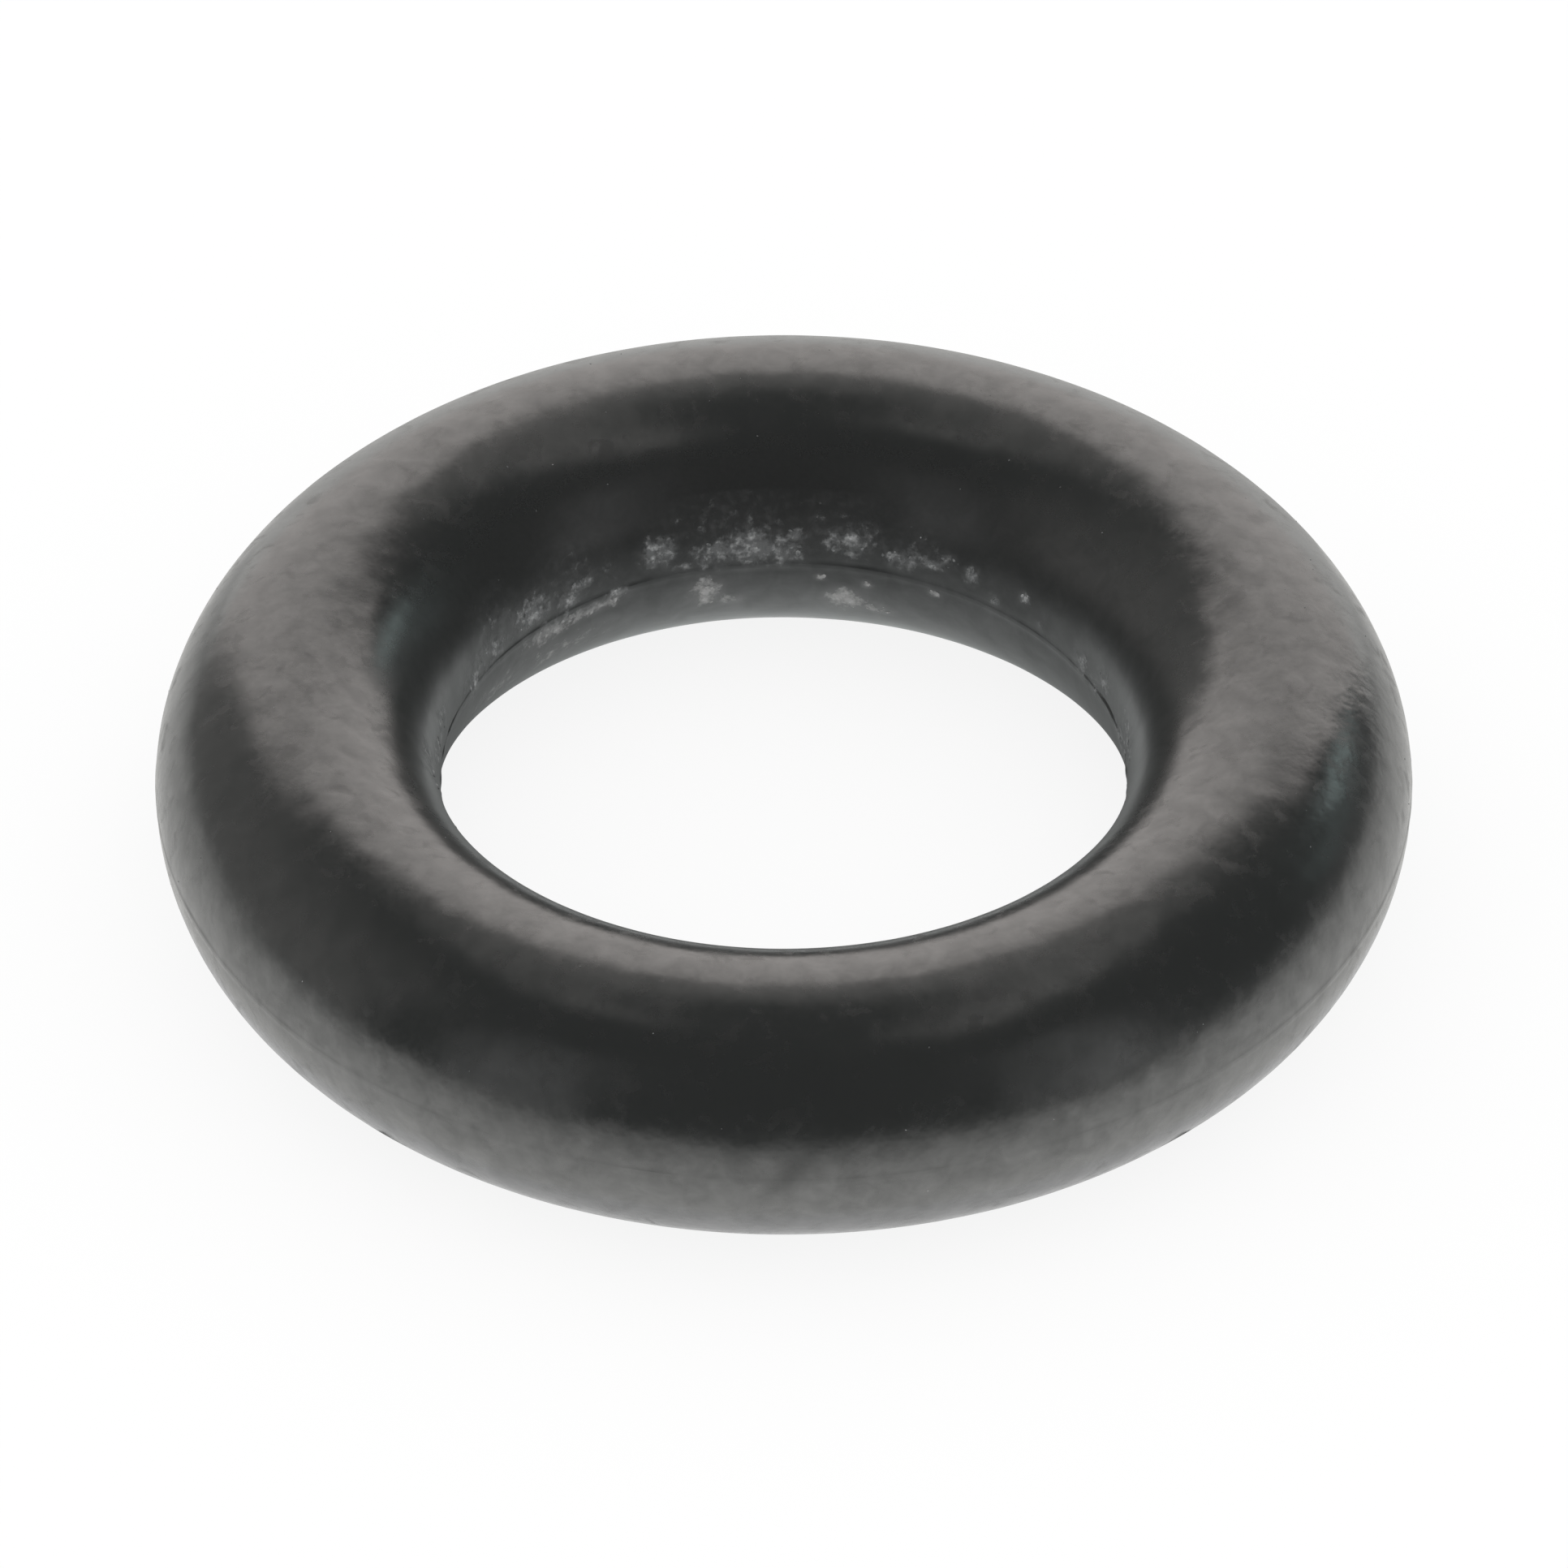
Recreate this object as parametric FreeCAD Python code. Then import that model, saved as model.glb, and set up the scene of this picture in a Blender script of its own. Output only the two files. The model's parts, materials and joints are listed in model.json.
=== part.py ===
"""Oil line gasket: a moulded rubber ring of round section.

The ring is one piece of black nitrile rubber, pressed in a two-part mould that opens along
the middle plane of its section. Rubber squeezed into that joint leaves a fine ridge of flash
round the inside and the outside of the ring, trimmed back to a narrow land. In use the ring
sits on the spigot of an oil line and is squeezed between the spigot and its socket, and the
two lands are where it first grips them.

The origin is on the ring's axis, in the middle plane of the section. +Z runs along the axis.
All sizes are in millimetres.
"""

import FreeCAD
import Part
import math
import os

# The two sizes by which such a ring is ordered.
inside_diameter = 6.0
section_diameter = 2.5

# The trimmed flash. Each ridge narrows from its root on the round section to its land.
flash_root_width = 0.10
flash_land_width = 0.06
inner_flash_height = 0.035
outer_flash_height = 0.025

section_radius = section_diameter / 2
inside_radius = inside_diameter / 2
outside_radius = inside_radius + section_diameter
centreline_radius = inside_radius + section_radius


def section_point(radius, height):
    """A point of the section, at this distance from the axis and height over the middle plane."""
    return FreeCAD.Vector(radius, 0, height)


def flash_corners(side, land_radius):
    """The corners of one ridge from top to bottom. side is 1 on the outside, -1 on the inside."""
    root_half = flash_root_width / 2
    land_half = flash_land_width / 2
    root_radius = centreline_radius + side * math.sqrt(section_radius**2 - root_half**2)
    return [
        section_point(root_radius, root_half),
        section_point(land_radius, land_half),
        section_point(land_radius, -land_half),
        section_point(root_radius, -root_half),
    ]


def ring_section():
    """The closed section: an upper and a lower arc, joined by the outer and the inner ridge."""
    outer = flash_corners(1, outside_radius + outer_flash_height)
    inner = flash_corners(-1, inside_radius - inner_flash_height)
    inner.reverse()
    crown = section_point(centreline_radius, section_radius)
    sole = section_point(centreline_radius, -section_radius)
    edges = [
        Part.Arc(inner[-1], crown, outer[0]).toShape(),
        *Part.makePolygon(outer).Edges,
        Part.Arc(outer[-1], sole, inner[0]).toShape(),
        *Part.makePolygon(inner).Edges,
    ]
    return Part.Face(Part.Wire(edges))


def seal_ring():
    """The ring: its section turned once round the axis."""
    return ring_section().revolve(FreeCAD.Vector(0, 0, 0), FreeCAD.Vector(0, 0, 1), 360)


os.makedirs("parts", exist_ok=True)
ring = seal_ring()
ring.exportStep("parts/seal_ring.step")
print(f"seal_ring: valid {ring.isValid()}, {ring.Volume:.2f} mm3, {len(ring.Faces)} faces")
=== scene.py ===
import bmesh
import bpy
import json
import math
import random
import numpy as np
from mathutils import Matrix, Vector, noise


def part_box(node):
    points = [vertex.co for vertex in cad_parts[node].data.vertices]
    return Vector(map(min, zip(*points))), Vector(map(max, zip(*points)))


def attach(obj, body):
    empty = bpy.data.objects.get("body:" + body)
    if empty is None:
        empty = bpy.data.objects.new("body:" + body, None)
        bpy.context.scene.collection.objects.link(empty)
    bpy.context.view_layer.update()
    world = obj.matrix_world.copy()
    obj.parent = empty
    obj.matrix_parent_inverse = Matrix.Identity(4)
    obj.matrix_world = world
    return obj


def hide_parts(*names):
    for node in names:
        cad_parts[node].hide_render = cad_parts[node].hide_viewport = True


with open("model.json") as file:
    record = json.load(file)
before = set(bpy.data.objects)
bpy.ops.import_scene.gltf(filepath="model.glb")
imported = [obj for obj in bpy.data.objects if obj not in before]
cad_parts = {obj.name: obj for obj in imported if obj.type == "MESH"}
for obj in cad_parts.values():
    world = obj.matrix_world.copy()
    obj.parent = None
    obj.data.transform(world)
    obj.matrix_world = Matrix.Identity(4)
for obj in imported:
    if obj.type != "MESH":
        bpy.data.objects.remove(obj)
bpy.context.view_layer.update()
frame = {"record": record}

mm = 0.001


# The view. The ring lies flat and is seen from 39 degrees above, through a lens so long that
# its far side looks hardly smaller than its near side. The ring's centre is given in pixels
# from the picture's left and upper edges.
image_side = 1932
ring_centre_x = 965.7
ring_centre_y = 963.4
pixels_per_mm = 140.8
view_elevation = math.radians(39.28)
lens = 1300 * mm
sensor_side = 36 * mm
nearest_seen = 0.05
furthest_seen = 5

view_distance = lens / sensor_side * image_side / pixels_per_mm * mm
towards_camera = Vector((0, -math.cos(view_elevation), math.sin(view_elevation)))
picture_right = Vector((1, 0, 0))
picture_up = towards_camera.cross(picture_right)
aim_right = (image_side / 2 - ring_centre_x) / pixels_per_mm * mm
aim_down = (image_side / 2 - ring_centre_y) / pixels_per_mm * mm

camera_data = bpy.data.cameras.new("camera")
camera_data.lens = lens / mm
camera_data.sensor_width = sensor_side / mm
camera_data.clip_start = nearest_seen
camera_data.clip_end = furthest_seen
camera = bpy.data.objects.new("camera", camera_data)
camera.location = (towards_camera * view_distance
                   + picture_right * aim_right - picture_up * aim_down)
camera.rotation_mode = "QUATERNION"
camera.rotation_quaternion = (-towards_camera).to_track_quat("-Z", "Y")
bpy.context.scene.collection.objects.link(camera)
bpy.context.scene.camera = camera
bpy.context.scene.view_settings.view_transform = "Standard"


# The seal ring. One piece of black nitrile rubber, moulded between two steel halves that met
# round its middle. The flash squeezed into that joint was trimmed off, which left a fine torn
# ridge inside and outside the ring, highest at its two sides, and shreds on the wall of the hole.
mounts = {mount["name"]: mount for mount in frame["record"]["mounts"]}
ring_low, ring_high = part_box("seal_ring")
section_radius = (ring_high.z - ring_low.z) / 2
inner_land_radius = mounts["inner_seat"]["dims"]["r_mm"] * mm
outer_land_radius = mounts["outer_seat"]["dims"]["r_mm"] * mm
outer_land_height = 0.025 * mm
centreline_radius = outer_land_radius - outer_land_height - section_radius
inner_flash_height = 0.018 * mm
outer_flash_height = 0.006 * mm
flash_root_half = 0.035 * mm
flash_land_half = 0.020 * mm
usual_trim = 0.60
inner_trim_wander = 0.60
outer_trim_wander = 0.50
least_side_flash = 0.15
flash_lumps = 0.16 * mm
crease_depth = 0.008 * mm
crease_half = 0.008 * mm
open_seam_turn = 20
open_seam_spread = 6
open_seam_depth = 1.6
skin_wander = 0.0025 * mm
skin_lumps = 0.9 * mm
skin_sink = 0.0036 * mm
shred_height = 0.010 * mm
shred_lumps = 0.06 * mm
shred_lift = 0.3
torn_wall_half = 0.7 * mm

turn_steps = 620
wall_reach = math.radians(36)
wall_step = math.radians(1.3)
body_step = math.radians(3.2)
ridge_heights = [-1.0, -0.8, -0.6, -0.2, 0.2, 0.6, 0.8, 1.0]


def section_angles():
    """Angles round the section from its outer edge, close together at the ridges and in the hole."""
    root_angle = math.asin(flash_root_half / section_radius)
    ridge = [math.asin(h * flash_root_half / section_radius) for h in ridge_heights]
    upper = [*np.arange(root_angle + body_step / 2, math.pi - wall_reach, body_step)]
    upper += [*np.arange(math.pi - wall_reach, math.pi - root_angle - wall_step / 2, wall_step)]
    lower = [2 * math.pi - a for a in reversed(upper)]
    inner_ridge = [math.pi - a for a in reversed(ridge)]
    return [*ridge, *upper, *inner_ridge, *lower]


def lump_at(place, size):
    """Smooth random height, mostly between -1 and 1, at a place, with lumps of the given size."""
    finer_fall, finer_step, layers, usual_peak = 1.0, 2.0, 3, 1.6
    return noise.fractal(place / size, finer_fall, finer_step, layers) / usual_peak


def ridge_rise(height):
    """How far a trimmed ridge has risen at a height from the middle plane, from 0 to 1."""
    run = flash_root_half - flash_land_half
    return min(1.0, max(0.0, (flash_root_half - abs(height)) / run))


# Shreds of rubber and talc stuck to the wall of the hole. Each patch has its turn round the hole
# in degrees, its height over the middle plane, half length and half height in millimetres, and
# its cover, from 0 to 1. The near wall's patches, which the camera can't see, are random.
seen_patches = [
    (154, 0.10, 0.18, 0.12, 0.62), (147, 0.18, 0.12, 0.12, 0.66), (137, 0.22, 0.17, 0.10, 0.90),
    (145, -0.36, 0.34, 0.12, 0.48), (130, -0.42, 0.40, 0.12, 0.42), (22, 0.20, 0.10, 0.08, 0.66),
    (133, -0.08, 0.26, 0.09, 0.75), (129, 0.13, 0.10, 0.07, 0.95), (126, 0.24, 0.09, 0.05, 0.80),
    (124, -0.07, 0.20, 0.06, 0.80), (119, 0.00, 0.06, 0.04, 0.90), (111, 0.28, 0.12, 0.10, 1.00),
    (107, 0.10, 0.08, 0.05, 0.60), (103, -0.27, 0.09, 0.13, 0.85), (101, 0.17, 0.18, 0.10, 0.80),
    (99, -0.42, 0.10, 0.04, 0.60), (95, 0.20, 0.22, 0.12, 0.95), (90, 0.16, 0.14, 0.10, 0.85),
    (88, 0.30, 0.07, 0.05, 0.75), (84, -0.12, 0.03, 0.03, 0.80), (80, -0.39, 0.11, 0.10, 0.90),
    (79, 0.30, 0.20, 0.11, 0.75), (76, -0.15, 0.03, 0.03, 0.80), (75, -0.48, 0.10, 0.05, 0.65),
    (70, 0.19, 0.12, 0.07, 0.80), (65, 0.24, 0.12, 0.05, 0.65), (62, 0.31, 0.07, 0.05, 0.65),
    (64, -0.07, 0.04, 0.03, 0.85), (57, 0.25, 0.05, 0.06, 1.00), (52, 0.12, 0.05, 0.04, 0.85),
    (46, 0.29, 0.04, 0.04, 0.70), (42, 0.12, 0.04, 0.03, 0.60), (30, 0.10, 0.12, 0.10, 0.55),
    (25, 0.05, 0.10, 0.08, 0.50), (98, 0.38, 0.42, 0.20, 0.34), (82, 0.40, 0.30, 0.16, 0.30),
    (128, 0.24, 0.30, 0.22, 0.34), (146, 0.30, 0.22, 0.22, 0.32), (68, 0.30, 0.22, 0.14, 0.30),
]
chance = random.Random(11)
unseen_count = 26
unseen_turns = (170, 370)
unseen_height, unseen_scatter = 0.16, 0.16
unseen_half_lengths, unseen_half_heights, unseen_covers = (0.04, 0.22), (0.03, 0.11), (0.5, 0.95)
unseen_patches = [
    (chance.uniform(*unseen_turns), chance.gauss(unseen_height, unseen_scatter),
     chance.uniform(*unseen_half_lengths), chance.uniform(*unseen_half_heights),
     chance.uniform(*unseen_covers)) for _ in range(unseen_count)]


def half_turn(angle):
    """The same angle in degrees, between -180 and 180."""
    return (angle + 180) % 360 - 180


def torn_wall(turn, height):
    """How torn the wall of the hole is at a turn and a height in millimetres, from 0 to 1."""
    middle, fall = 1.28, 0.56
    most = 0.0
    for patch_turn, patch_height, half_length, half_height, cover in seen_patches + unseen_patches:
        along = math.radians(half_turn(turn - patch_turn)) * inner_land_radius / mm / half_length
        up = (height - patch_height) / half_height
        most = max(most, cover * (middle - fall * math.hypot(along, up)))
    return min(1.0, most)


def matt_wall(angle):
    """How matt the skin is at an angle of the section: 1 on the wall of the hole, 0 further up."""
    matt_reach, matt_fade = 60, 24
    over = abs(math.degrees(math.pi - angle))
    return min(1.0, max(0.0, (matt_reach - over) / matt_fade))


# Dull marks on the skin. Each has its turn round the ring and its angle round the section in
# degrees, its half length and half width in millimetres, its lean in degrees, and how dull it
# is, from 0 to 1.
skin_marks = [
    (270.7, 4, 0.32, 0.10, 53, 1.0), (273.0, 17, 0.16, 0.10, 10, 0.8),
    (262, 18, 0.16, 0.09, -10, 0.6), (10.1, 73, 0.12, 0.09, 40, 0.5),
    (5.5, 69, 0.20, 0.08, 80, 0.5), (4.7, 49, 0.12, 0.09, 70, 0.6),
    (357.3, 67, 0.10, 0.10, 0, 0.4), (8, 58, 0.16, 0.09, 60, 0.4),
    (292, 12, 0.16, 0.09, 30, 0.4), (244, 10, 0.20, 0.09, -30, 0.4),
    (209, 21, 0.16, 0.09, 15, 0.4),
]
mark_reach = 1.0


def marked_skin(turn, angle):
    """How dull the skin is at a turn round the ring and an angle round the section, from 0 to 1."""
    most = 0.0
    for mark_turn, mark_angle, half_length, half_width, lean, dullness in skin_marks:
        along = math.radians(half_turn(turn - mark_turn)) * outer_land_radius / mm
        across = math.radians(half_turn(angle - mark_angle)) * section_radius / mm
        if abs(along) < mark_reach and abs(across) < mark_reach:
            c, s = math.cos(math.radians(lean)), math.sin(math.radians(lean))
            far = math.hypot((along * c + across * s) / half_length,
                             (across * c - along * s) / half_width)
            most = max(most, dullness * math.exp(-far * far))
    return most


def scuffed_skin(turn, angle):
    """How scuffed the skin is at a turn and an angle in degrees: more on the outer side than on
    the crown, and most where the ring was gripped, high on its right."""
    outer_middle, outer_reach, outer_fade, crown_share = -12, 42, 14, 0.12
    grip_angle, grip_half_turn, grip_half_angle, grip_share = 50, 16, 22, 1.5
    over = abs(half_turn(angle) - outer_middle)
    grip = math.hypot(half_turn(turn) / grip_half_turn, (angle - grip_angle) / grip_half_angle)
    outer_share = min(1.0, max(crown_share, (outer_reach - over) / outer_fade))
    return outer_share + grip_share * math.exp(-grip * grip)


def inner_crease(turn, rim_place):
    """How deep the crease beside the inner ridge is: broken, filled by shreds, open at the right."""
    usual, wander, lump_size = 0.12, 1.2, 0.6 * mm
    seam_height_in_mm = 0.03
    crease = max(0.0, usual + wander * lump_at(rim_place + Vector((0, 0, mm)), lump_size))
    far = (math.degrees(turn) - open_seam_turn) / open_seam_spread
    crease += open_seam_depth * math.exp(-far ** 2)
    return crease * (1 - torn_wall(math.degrees(turn), seam_height_in_mm))


def outer_crease(outer_place):
    """How deep the crease beside the outer ridge is: faint, and gone for long stretches."""
    usual, wander, lump_size = 0.06, 0.35, 0.5 * mm
    return max(0.0, usual + wander * lump_at(outer_place + Vector((0, 0, mm)), lump_size))


ring_vertices = []
torn = []
matt = []
scuffed = []
marked = []
angles = section_angles()
for turn_index in range(turn_steps):
    turn = 2 * math.pi * turn_index / turn_steps
    outward = Vector((math.cos(turn), math.sin(turn), 0))
    inner_place = outward * inner_land_radius
    outer_place = outward * outer_land_radius
    side_flash = least_side_flash + (1 - least_side_flash) * math.cos(turn) ** 4
    inner_trim = side_flash * (usual_trim + inner_trim_wander * lump_at(inner_place, flash_lumps))
    outer_trim = side_flash * (usual_trim + outer_trim_wander * lump_at(outer_place, flash_lumps))
    inner_depth = crease_depth * inner_crease(turn, inner_place)
    outer_depth = crease_depth * outer_crease(outer_place)
    for angle in angles:
        height = section_radius * math.sin(angle)
        away = outward * math.cos(angle) + Vector((0, 0, math.sin(angle)))
        place = outward * centreline_radius + away * section_radius
        rise = skin_wander * lump_at(place, skin_lumps) - skin_sink
        tear = 0.0
        at_crease = max(0.0, 1 - abs(height - flash_root_half) / crease_half)
        if math.cos(angle) < 0:
            rise += inner_flash_height * ridge_rise(height) * inner_trim - inner_depth * at_crease
            if abs(height) < torn_wall_half:
                tear = torn_wall(math.degrees(turn), height / mm)
                rise += shred_height * tear * max(0.0, lump_at(place, shred_lumps) + shred_lift)
        else:
            rise += outer_flash_height * ridge_rise(height) * outer_trim - outer_depth * at_crease
        ring_vertices.append(place + away * rise)
        torn.append(tear)
        matt.append(matt_wall(angle))
        scuffed.append(scuffed_skin(math.degrees(turn), math.degrees(angle)))
        marked.append(marked_skin(math.degrees(turn), math.degrees(angle)))

ring_count = len(angles)
ring_faces = []
for turn_index in range(turn_steps):
    here = turn_index * ring_count
    there = (turn_index + 1) % turn_steps * ring_count
    for i in range(ring_count):
        j = (i + 1) % ring_count
        ring_faces.append((here + i, there + i, there + j, here + j))

ring_mesh = bpy.data.meshes.new("seal_ring")
ring_mesh.from_pydata(ring_vertices, [], ring_faces)
for state, values in (("torn", torn), ("matt", matt), ("scuffed", scuffed), ("marked", marked)):
    ring_mesh.attributes.new(state, "FLOAT", "POINT").data.foreach_set("value", values)
ring_mesh.shade_smooth()
seal_ring = bpy.data.objects.new("moulded_ring", ring_mesh)
bpy.context.scene.collection.objects.link(seal_ring)


def make_node(tree, kind, inputs, **settings):
    """Adds a node, sets it up, and links or sets its inputs."""
    node = tree.nodes.new(kind)
    for name, value in settings.items():
        setattr(node, name, value)
    for name, value in inputs.items():
        if isinstance(value, bpy.types.NodeSocket):
            tree.links.new(value, node.inputs[name])
        else:
            node.inputs[name].default_value = value
    return node


def grained(tree, spot, per_mm, layers, fineness, swirl=0.0):
    """Random lumps over the skin, so many to a millimetre, with finer layers on them, and swirled."""
    lumps = make_node(tree, "ShaderNodeTexNoise", {
        "Vector": spot, "Scale": per_mm, "Detail": layers, "Roughness": fineness, "Distortion": swirl})
    return lumps.outputs["Fac"]


def graded(tree, value, start, end, low=0.0, high=1.0):
    """The value's run from start to end, mapped to the run from low to high and held there."""
    run = make_node(tree, "ShaderNodeMapRange", {
        "Value": value, "From Min": start, "From Max": end, "To Min": low, "To Max": high})
    return run.outputs["Result"]


def reckoned(tree, operation, *values):
    """What the operation, such as ADD or MULTIPLY, makes of the values."""
    answer = make_node(tree, "ShaderNodeMath", dict(enumerate(values)), operation=operation)
    return answer.outputs["Value"]


def covered(tree, share, under, over, kind="RGBA"):
    """What is under, covered in the given share by what is over: colours, or the kind given."""
    mix = make_node(tree, "ShaderNodeMix", {"Factor": share, "A": under, "B": over}, data_type=kind)
    return mix.outputs["Result"]


def embossed(tree, height, depth, **under):
    """The skin's slope with this relief, as deep as given where its height is 1. It can lie on top
    of the slope of a broader relief, given as Normal."""
    relief = make_node(tree, "ShaderNodeBump", {
        "Height": height, "Distance": depth, "Strength": 1.0, **under})
    return relief.outputs["Normal"]


def state_of(tree, state):
    """What the mesh keeps at each place under this name, such as how torn or how scuffed it is."""
    return make_node(tree, "ShaderNodeAttribute", {}, attribute_name=state).outputs["Fac"]


def rubber():
    """Black moulded nitrile: a satin skin, grained and faintly rippled, and grey where it is torn."""
    black = (0.0245, 0.0266, 0.0256, 1)
    torn_grey = (0.14, 0.147, 0.147, 1)
    fleck_grey = (0.48, 0.49, 0.49, 1)
    # Talc and painted light: the white that the film turns to below the seam.
    talc_and_light_white = (0.75, 0.74, 0.73, 1)
    oily_index = 2.3
    material = bpy.data.materials.new("satin_rubber")
    material.use_nodes = True
    tree = material.node_tree
    tree.nodes.clear()
    place = make_node(tree, "ShaderNodeTexCoord", {}).outputs["Object"]
    spot = make_node(tree, "ShaderNodeVectorMath", {0: place, 1: (1 / mm, 1 / mm, 1 / mm)},
                     operation="MULTIPLY").outputs["Vector"]
    grain = grained(tree, spot, 20, 2, 0.6)
    ripple = grained(tree, spot, 2.6, 1, 0.4)
    cloud = grained(tree, spot, 2.2, 4, 0.6)
    smudge = grained(tree, spot, 4.5, 2, 0.5, 0.6)
    mottle = grained(tree, spot, 4, 3, 0.55, 0.4)
    scuff = grained(tree, spot, 5, 2, 0.5)
    shreds = grained(tree, spot, 9, 5, 0.68)
    flecks = grained(tree, spot, 14, 3, 0.6)
    usual_run = (0.3, 0.7)

    # The film of torn rubber and talc: a thin haze over each patch, ragged shreds in it, and a whiter
    # film below the seam, which is painted light making up for the little light that reaches the lower
    # wall.
    full_tear, haze_cover, shred_weight = 0.8, 0.22, 2.0
    shred_run, shred_edge, fleck_run = (1.38, 1.95), 1 / 6, (0.48, 0.72)
    talc_and_light_run, talc_and_light_cover = (0.02, -0.14), 0.6
    tear = state_of(tree, "torn")
    haze = graded(tree, tear, 0.0, full_tear, 0.0, haze_cover)
    ragged = graded(tree, reckoned(tree, "MULTIPLY_ADD", shreds, shred_weight, tear), *shred_run)
    shred = reckoned(tree, "MULTIPLY", ragged, graded(tree, tear, 0.0, shred_edge))
    film = reckoned(tree, "MAXIMUM", shred, haze)
    upper_film = covered(tree, graded(tree, flecks, *fleck_run), torn_grey, fleck_grey)
    height = make_node(tree, "ShaderNodeSeparateXYZ", {"Vector": spot}).outputs["Z"]
    # Painted light: the film turns whiter below the seam, where little light reaches the wall.
    talc_and_painted_light = graded(tree, height, *talc_and_light_run, 0.0, talc_and_light_cover)
    film_colour = covered(tree, talc_and_painted_light, upper_film, talc_and_light_white)
    colour = covered(tree, film, black, film_colour)

    # The roughness: satin with duller clouds and smudges, matt on the wall of the hole and in the
    # film. The gloss: mottled, and less of it on the dull marks.
    cloud_roughness, grain_roughness = (0.20, 0.26), (-0.03, 0.03)
    smudge_run, smudge_roughness = (0.56, 0.74), 0.13
    matt_roughness, film_roughness = 0.34, 0.6
    mottled_gloss, mark_gloss = (0.40, 0.60), -0.36
    satin = reckoned(tree, "ADD", graded(tree, cloud, *usual_run, *cloud_roughness),
                     graded(tree, grain, *usual_run, *grain_roughness))
    smudged = reckoned(tree, "ADD", satin, graded(tree, smudge, *smudge_run, 0.0, smudge_roughness))
    dulled = covered(tree, state_of(tree, "matt"), smudged, matt_roughness, "FLOAT")
    roughness = covered(tree, film, dulled, film_roughness, "FLOAT")
    mark = reckoned(tree, "MULTIPLY", state_of(tree, "marked"), mottle)
    gloss = reckoned(tree, "MULTIPLY_ADD", mark, mark_gloss,
                     graded(tree, mottle, *usual_run, *mottled_gloss))

    # The relief, from the broadest to the finest.
    ripple_depth, scuff_depth, grain_depth, fleck_depth = 0.007 * mm, 0.005 * mm, 0.0004 * mm, 0.006 * mm
    scuffs = reckoned(tree, "MULTIPLY", scuff, state_of(tree, "scuffed"))
    torn_flecks = reckoned(tree, "MULTIPLY", flecks, shred)
    slope = embossed(tree, ripple, ripple_depth)
    slope = embossed(tree, scuffs, scuff_depth, Normal=slope)
    slope = embossed(tree, grain, grain_depth, Normal=slope)
    slope = embossed(tree, torn_flecks, fleck_depth, Normal=slope)
    surface = make_node(tree, "ShaderNodeBsdfPrincipled", {
        "Base Color": colour, "Roughness": roughness, "IOR": oily_index,
        "Specular IOR Level": gloss, "Normal": slope})
    make_node(tree, "ShaderNodeOutputMaterial", {"Surface": surface.outputs["BSDF"]})
    return material


satin_rubber = rubber()
ring_mesh.materials.append(satin_rubber)
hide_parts("seal_ring")
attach(seal_ring, "root")


# The crumbs. Bits of the same rubber, torn off the flash and whitened with talc, cling to the
# wall of the hole in the same patches. A few specks of talc lie on the rest of the ring.
# The crumbs and specks below the seam take the film's whiter colour there, which is painted light.
crumb_count = 260
crumb_radii = (0.005 * mm, 0.021 * mm)
speck_count = 90
speck_radii = (0.003 * mm, 0.006 * mm)
speck_angles = (-0.4, math.pi)
crumbly_cover = 0.6
along_patch = 0.55
across_patch = 0.5
mostly_small = 2.5
crumb_lumps = 0.9
crumb_wander = 0.45
crumb_stretch = 0.6
crumb_press = 0.35

crumb_places = []
patches = [patch for patch in seen_patches + unseen_patches if patch[4] > crumbly_cover]
for _ in range(crumb_count):
    patch_turn, patch_height, half_length, half_height, cover = chance.choice(patches)
    height = (patch_height + half_height * chance.gauss(0, across_patch)) * mm
    along = half_length * chance.gauss(0, along_patch) * mm
    turn = math.radians(patch_turn) + along / inner_land_radius
    size = chance.random() ** mostly_small
    crumb_places.append((turn, math.pi - math.asin(height / section_radius),
                         crumb_radii[0] * (1 - size) + crumb_radii[1] * size))
for _ in range(speck_count):
    crumb_places.append((chance.uniform(0, 2 * math.pi), chance.uniform(*speck_angles),
                         chance.uniform(*speck_radii)))

crumb_mesh = bpy.data.meshes.new("flash_crumbs")
crumb_form = bmesh.new()
for turn, angle, radius in crumb_places:
    outward = Vector((math.cos(turn), math.sin(turn), 0))
    away = outward * math.cos(angle) + Vector((0, 0, math.sin(angle)))
    centre = outward * centreline_radius + away * (section_radius - skin_sink)
    any_way = Vector((chance.gauss(0, 1), chance.gauss(0, 1), chance.gauss(0, 1)))
    long_way = away.cross(any_way).normalized()
    ball = bmesh.ops.create_icosphere(crumb_form, subdivisions=2, radius=radius)
    for vertex in ball["verts"]:
        lump = vertex.co * (1 + crumb_wander * lump_at(vertex.co + centre, radius * crumb_lumps))
        lump += long_way * lump.dot(long_way) * crumb_stretch
        vertex.co = centre + lump - away * lump.dot(away) * crumb_press
crumb_form.to_mesh(crumb_mesh)
crumb_form.free()
whole = [1.0] * len(crumb_mesh.vertices)
for state in ("torn", "matt"):
    crumb_mesh.attributes.new(state, "FLOAT", "POINT").data.foreach_set("value", whole)
crumb_mesh.shade_smooth()
crumb_mesh.materials.append(satin_rubber)
crumbs = bpy.data.objects.new("flash_crumbs", crumb_mesh)
bpy.context.scene.collection.objects.link(crumbs)
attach(crumbs, "root")


# The table. A plain pale sheet that the ring lies on. The camera sees it white, mostly by a glow
# of its own, so the ring's soft shadow on it stays faint. The light that it throws back on the
# ring comes from its paper tone alone.
floor_half = 0.8
floor_z = ring_low.z
floor_tone = 0.85
floor_shade = 0.14
floor_glow = 0.87

floor_mesh = bpy.data.meshes.new("floor")
floor_mesh.from_pydata([(-floor_half, -floor_half, floor_z), (floor_half, -floor_half, floor_z),
                        (floor_half, floor_half, floor_z), (-floor_half, floor_half, floor_z)],
                       [], [(0, 1, 2, 3)])
floor = bpy.data.objects.new("floor", floor_mesh)
bpy.context.scene.collection.objects.link(floor)


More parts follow.
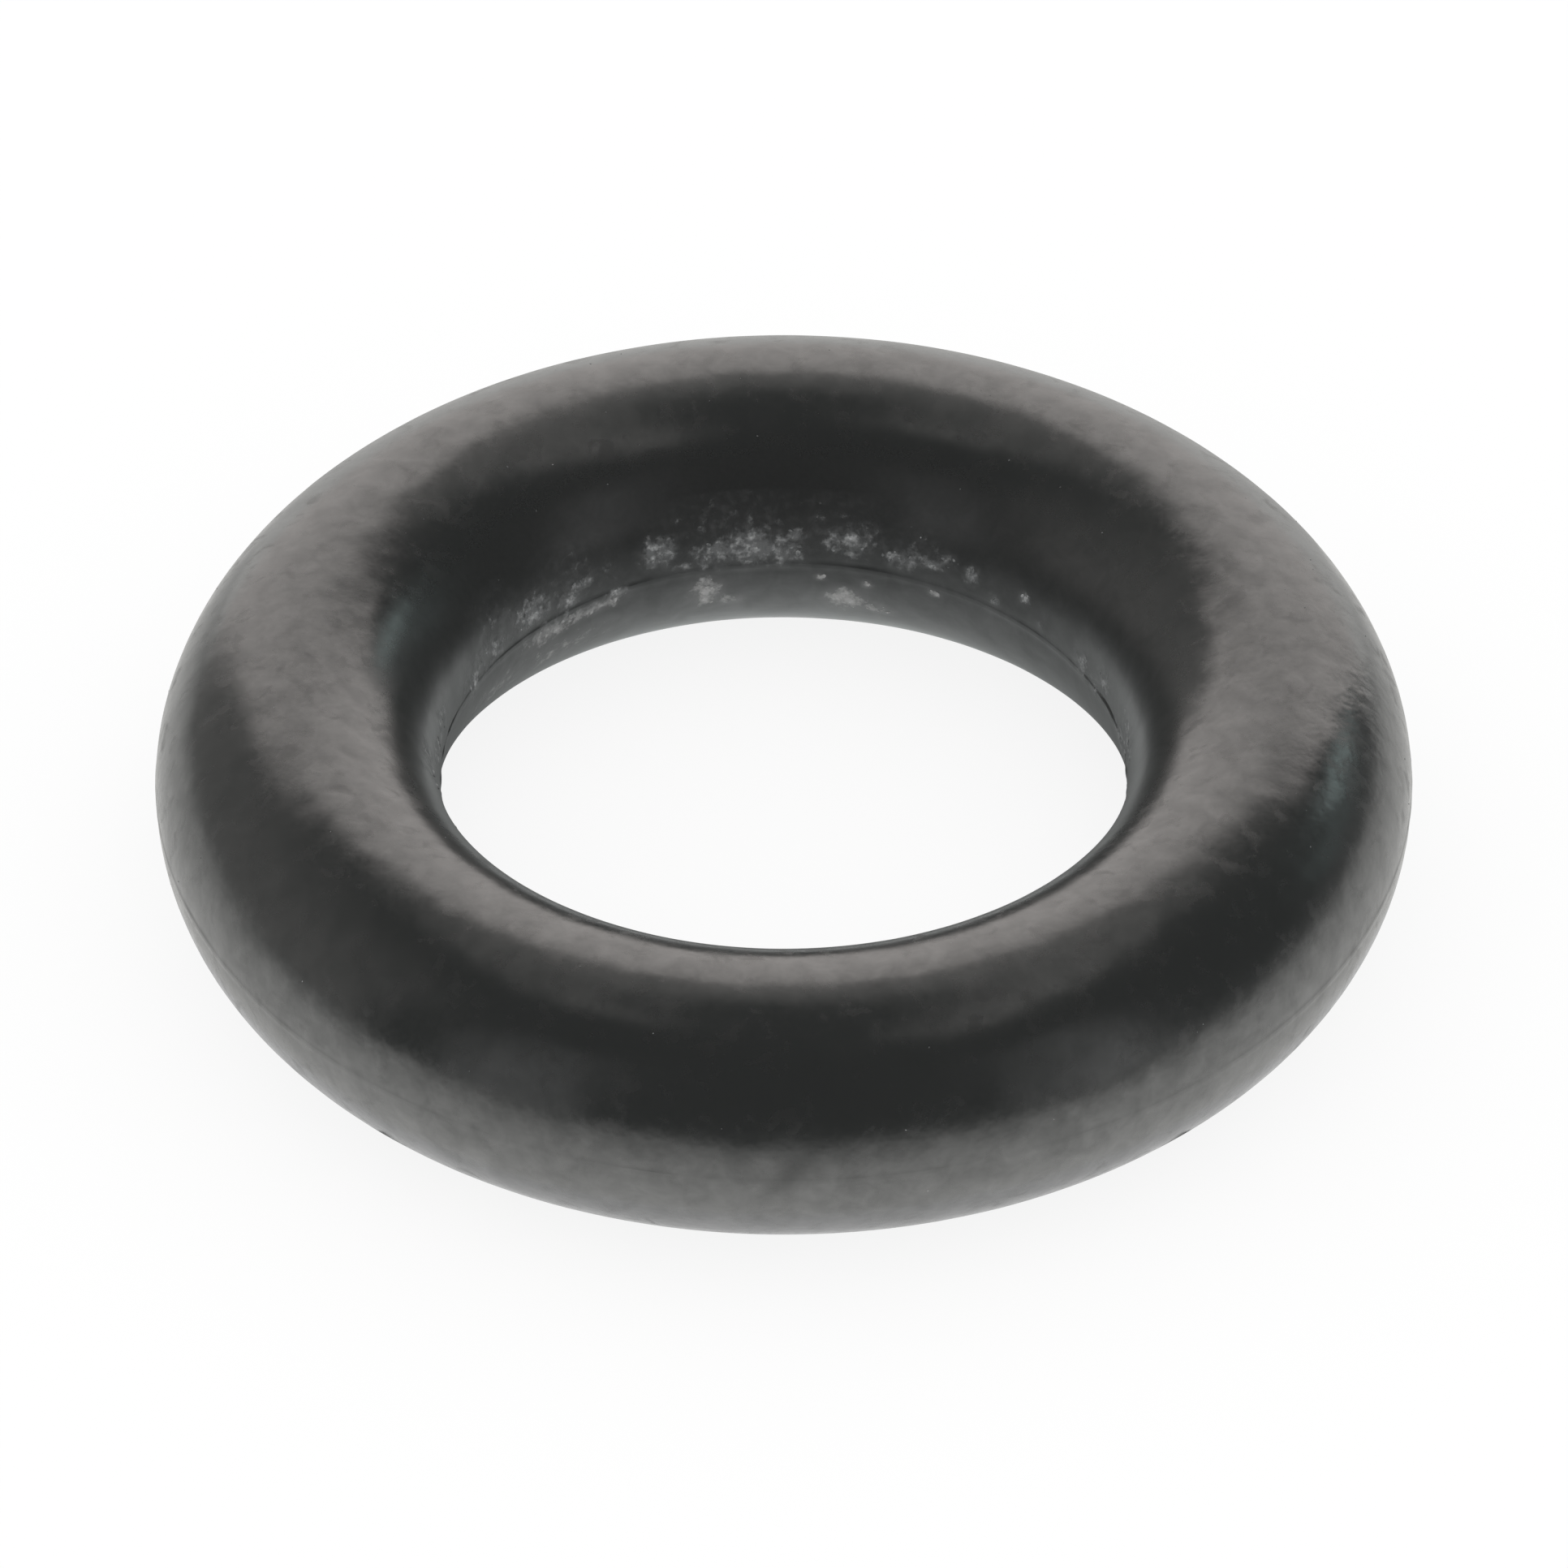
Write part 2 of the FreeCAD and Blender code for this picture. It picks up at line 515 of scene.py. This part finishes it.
def seen_rays(tree):
    """1 for the rays that show a background: the camera's own, and those by way of gloss or glass."""
    path = make_node(tree, "ShaderNodeLightPath", {}).outputs
    gloss = reckoned(tree, "MAXIMUM", path["Is Camera Ray"], path["Is Glossy Ray"])
    return reckoned(tree, "MAXIMUM", gloss, path["Is Transmission Ray"])


floor_paper = bpy.data.materials.new("floor_paper")
floor_paper.use_nodes = True
floor_tree = floor_paper.node_tree
floor_tree.nodes.clear()
seen = seen_rays(floor_tree)
paper_tone = graded(floor_tree, seen, 0, 1, floor_tone, floor_shade)
paper = make_node(floor_tree, "ShaderNodeBsdfDiffuse", {"Color": paper_tone})
glow = make_node(floor_tree, "ShaderNodeEmission", {
    "Strength": reckoned(floor_tree, "MULTIPLY", seen, floor_glow)})
sheet = make_node(floor_tree, "ShaderNodeAddShader", {
    0: paper.outputs["BSDF"], 1: glow.outputs["Emission"]})
make_node(floor_tree, "ShaderNodeOutputMaterial", {"Surface": sheet.outputs["Shader"]})
floor_paper.cycles.emission_sampling = "NONE"
floor_mesh.materials.append(floor_paper)


# The room's light. An even pale surround lights the ring and the table from all sides, and
# shows plain white behind them.
surround_level = 0.97
white = 1.0
world = bpy.data.worlds.new("surround")
bpy.context.scene.world = world
world.use_nodes = True
world_tree = world.node_tree
world_tree.nodes.clear()
world_level = graded(world_tree, seen_rays(world_tree), 0, 1, surround_level, white)
surround = make_node(world_tree, "ShaderNodeBackground", {
    "Color": (1, 1, 1, 1), "Strength": world_level})
make_node(world_tree, "ShaderNodeOutputWorld", {"Surface": surround.outputs["Background"]})
world.cycles.sampling_method = "NONE"


# The cards. A glossy thing is photographed in a dark tent, between pale cards that its skin
# mirrors. These are seen only in the ring's gloss: they hold back no light and cast no shadow.
# Each has rows of corners and a tone for each row: 0 is black, 1 white, and a lit panel is over 1.
card_steps = 24
tent_tone = 0.01


def direction(azimuth, elevation):
    """A direction from the ring, in degrees: azimuth 0 is the camera's side, 90 its right."""
    a, e = math.radians(azimuth), math.radians(elevation)
    return Vector((math.sin(a) * math.cos(e), -math.cos(a) * math.cos(e), math.sin(e)))


def spread(values):
    """The values spread evenly over a card's rows or columns, from its first to its last."""
    return np.interp(np.linspace(0, 1, card_steps + 1), np.linspace(0, 1, len(values)), values)


def hang_card(name, rows, tones, colour=(1, 1, 1)):
    """Hangs a card with the given rows of corners. Its tones run from its first row to its last."""
    width = card_steps + 1
    faces = [(i * width + j, i * width + j + 1, (i + 1) * width + j + 1, (i + 1) * width + j)
             for i in range(card_steps) for j in range(card_steps)]
    mesh = bpy.data.meshes.new(name)
    mesh.from_pydata([corner for row in rows for corner in row], [], faces)
    corner_tones = np.repeat(spread(tones), width)
    mesh.attributes.new("tone", "FLOAT", "POINT").data.foreach_set("value", corner_tones)
    paint = bpy.data.materials.new(name)
    paint.use_nodes = True
    paint.node_tree.nodes.clear()
    strength = state_of(paint.node_tree, "tone") if len(tones) > 1 else tones[0]
    shine = make_node(paint.node_tree, "ShaderNodeEmission", {"Color": (*colour, 1), "Strength": strength})
    make_node(paint.node_tree, "ShaderNodeOutputMaterial", {"Surface": shine.outputs["Emission"]})
    paint.cycles.emission_sampling = "NONE"
    mesh.materials.append(paint)
    card = bpy.data.objects.new(name, mesh)
    bpy.context.scene.collection.objects.link(card)
    card.visible_camera = False
    card.visible_diffuse = False
    card.visible_shadow = False


def round_card(name, azimuths, low_edge, high_edge, distance, tones, colour=(1, 1, 1)):
    """A card bent round the set at a distance in metres. Its azimuths and its two edges' elevations
    are in degrees, and its tones run from the low edge to the high one."""
    rows = [[direction(a, low + (high - low) * t) * distance
             for a, low, high in zip(spread(azimuths), spread(low_edge), spread(high_edge))]
            for t in spread([0, 1])]
    hang_card(name, rows, tones, colour)


def table_card(name, azimuths, tones, colour=(1, 1, 1), back_reach=0.0):
    """A card lying on the table round the ring. Its tones run outwards over mat_radii, which are
    in millimetres, and it can reach further out towards the back."""
    start = mat_radii[0]

    def corner(azimuth, radius):
        stretch = 1 + back_reach * math.sin(math.radians(azimuth) / 2) ** 2
        return direction(azimuth, 0) * (start + (radius - start) * stretch) * mm + card_lift

    hang_card(name, [[corner(a, r) for a in spread(azimuths)] for r in spread(mat_radii)], tones, colour)


mat_radii = [5.6, 6.8, 10.2, 20, 50, 140, 400]
hole_half = 3.6 * mm
card_lift = Vector((0, 0, floor_z + 0.01 * mm))
foot = [-5]
tent_distance, roof_distance, wall_distance, lamp_distance = 0.70, 0.67, 0.66, 0.62
warm_white = (1.0, 0.945, 0.915)
warm_grey = (1.0, 0.97, 0.94)
cool_white = (0.965, 1.0, 0.99)
mat_white = (1.0, 0.995, 0.972)
cool = (0.80, 1.0, 0.98)
round_card("tent", [-180, 180], foot, [90], tent_distance, [tent_tone])
round_card("back_panel", [141, 212], foot, [37, 44, 46, 45, 40], wall_distance,
           [1.05, 1.07, 1.05, 1.0, 0.92], warm_white)
round_card("roof_right", [50, 180], [66, 66, 62, 54, 47], [76, 78, 77, 71, 62], roof_distance,
           [0.36, 0.28, 0.20], warm_grey)
round_card("roof_left", [180, 275], [47, 58, 68, 74], [62, 72, 80, 82], roof_distance,
           [0.30, 0.24, 0.18], warm_grey)
round_card("left_wall", [212, 285], foot, [50, 55, 56, 50], wall_distance,
           [0.24, 0.19, 0.17, 0.12, 0.04], warm_grey)
round_card("left_post", [302, 324], foot, [48], wall_distance, [0.26, 0.22, 0.17, 0.08])
round_card("right_wall", [41, 53], foot, [46], wall_distance, [0.24, 0.18, 0.12, 0.06])
round_card("right_post", [53, 65], foot, [46], wall_distance, [0.38, 0.31, 0.22, 0.12])
round_card("low_wall", [65, 144], foot, [8, 5, 14, 16], wall_distance, [0.16, 0.06, 0.10])
round_card("cool_lamp", [125, 137], [17], [27], lamp_distance, [0.75], cool)
round_card("cool_glow", [110, 124], [10], [22], lamp_distance, [0.16], cool)
table_card("dark_mat", [-144, 137], [0.98, 0.78, 0.48, 0.21, 0.11, 0.05, 0.01], mat_white,
           back_reach=4.0)
# The back sweep's tones next to the ring are darker: painted shadow, standing in for the ring's shadow on
# the table just behind it.
table_card("back_sweep", [137, 216], [0.50, 0.62, 0.84, 1.0, 1.0, 1.0, 1.0], mat_white)
# The hole's card is painted shade: a dark sheet in the hole, seen only in gloss, standing in for the
# ring's shadow on the table there. It is darkest at the front.
hole_rows = [[Vector((x, y, 0)) + card_lift for x in spread([-hole_half, hole_half])]
             for y in spread([-hole_half, hole_half])]
hang_card("hole_shade", hole_rows, [0.08, 0.09, 0.10, 0.12, 0.14, 0.20, 0.29, 0.52, 0.90], cool_white)
